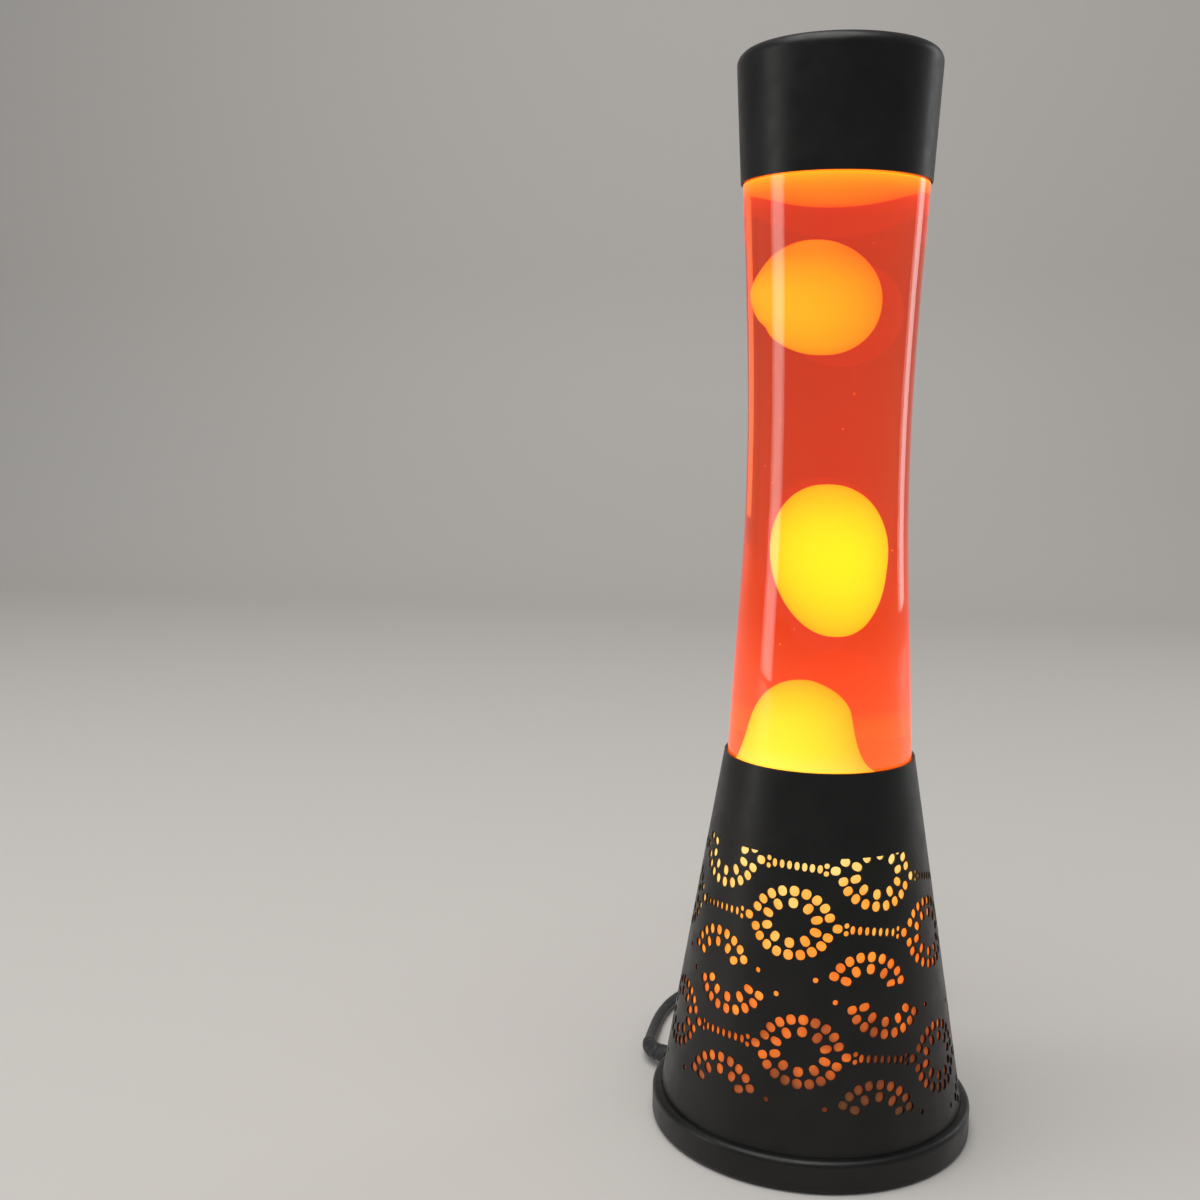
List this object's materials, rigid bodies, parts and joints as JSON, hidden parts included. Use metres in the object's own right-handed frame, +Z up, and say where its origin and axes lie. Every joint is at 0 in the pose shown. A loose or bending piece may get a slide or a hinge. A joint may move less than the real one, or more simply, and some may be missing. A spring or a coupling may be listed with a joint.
{
  "type": "lava lamp",
  "caption": "Wax motion lamp: black perforated cone base with reflector bulb, hourglass bottle of orange liquid and wax, black cap, mains cord with switch and plug.",
  "frame": {"origin": "centre of the round footprint, on the table", "axes": "+Z up along the lamp's axis; the pictured side faces -Y"},
  "size_m": [0.1302, 0.3044, 0.395],
  "materials": {
    "black_lacquer": "satin",
    "diffuser": "matte",
    "dark_steel": "satin",
    "zinc": "satin",
    "rubber": "matte",
    "silicone": "matte",
    "bakelite": "gloss",
    "brass": "satin",
    "clear_glass": "gloss",
    "bulb_glass": "gloss",
    "black_glass": "gloss",
    "solder": "satin",
    "filament": "satin",
    "liquid": "gloss",
    "wax": "gloss",
    "wax_upper": "gloss",
    "cord_pvc": "satin",
    "black_plastic": "satin",
    "core_insulation": "satin"
  },
  "bodies": {
    "base": {"shade_collar": "black_lacquer", "fret_sleeve_upper": "black_lacquer", "fret_sleeve_lower": "black_lacquer", "diffuser_upper": "diffuser", "diffuser_lower": "diffuser", "foot_ring": "black_lacquer", "bottom_cover": "dark_steel", "cover_screws": "zinc", "rubber_pads": "rubber", "bottle_seat": "dark_steel", "seat_gasket": "silicone", "holder_plate": "dark_steel", "holder_ring_nuts": "bakelite", "holder_body": "bakelite", "holder_thread": "brass", "holder_contact": "brass", "holder_cap": "bakelite", "cord_gland": "black_plastic", "cord_tail": "cord_pvc", "cord_clamp": "black_plastic", "clamp_screws": "zinc", "supply_cores": "core_insulation", "cord_lamp_side": "cord_pvc", "cord_switch_side": "cord_pvc", "cord_plug_side": "cord_pvc", "cord_coil": "cord_pvc", "switch_base": "black_plastic", "switch_cover": "black_plastic", "switch_screws": "zinc", "switch_contacts": "brass", "plug_pins": "zinc", "plug_body": "black_plastic"},
    "bulb": {"bulb_glass": "bulb_glass", "bulb_screw_cap": "brass", "bulb_insulator": "black_glass", "bulb_contact": "solder", "bulb_stem": "clear_glass", "bulb_filament": "filament"},
    "bottle": {"glass_bottle": "clear_glass", "liquid": "liquid", "wax_mound": "wax", "wax_lens": "wax_upper", "coil_ring": "zinc", "crown_closure": "zinc", "closure_seal": "silicone"},
    "middle_blob": {"wax_blob_middle": "wax"},
    "upper_blob": {"wax_blob_upper": "wax_upper"},
    "cap": {"top_cap": "black_lacquer"},
    "rocker": {"switch_rocker": "black_plastic"}
  },
  "joints": [
    {"name": "bottle_lift", "type": "slide", "parent": "base", "child": "bottle", "axis": [0, 0, 1], "range_m": [0, 0.06]},
    {"name": "cap_lift", "type": "slide", "parent": "bottle", "child": "cap", "axis": [0, 0, 1], "range_m": [0, 0.046]},
    {"name": "bulb_turn", "type": "hinge", "parent": "base", "child": "bulb", "pos_m": [0, 0, 0.06], "axis": [0, 0, 1], "range_deg": [0, 1080]},
    {"name": "middle_blob_drift", "type": "slide", "parent": "bottle", "child": "middle_blob", "axis": [0, 0, 1], "range_m": [-0.012, 0.02], "deforming": ["liquid"]},
    {"name": "upper_blob_drift", "type": "slide", "parent": "bottle", "child": "upper_blob", "axis": [0, 0, 1], "range_m": [-0.018, 0.007], "deforming": ["liquid"]},
    {"name": "switch_rock", "type": "hinge", "parent": "base", "child": "rocker", "pos_m": [0.004, 0.112, 0.013], "axis": [0, 1, 0], "range_deg": [-14, 0]}
  ]
}
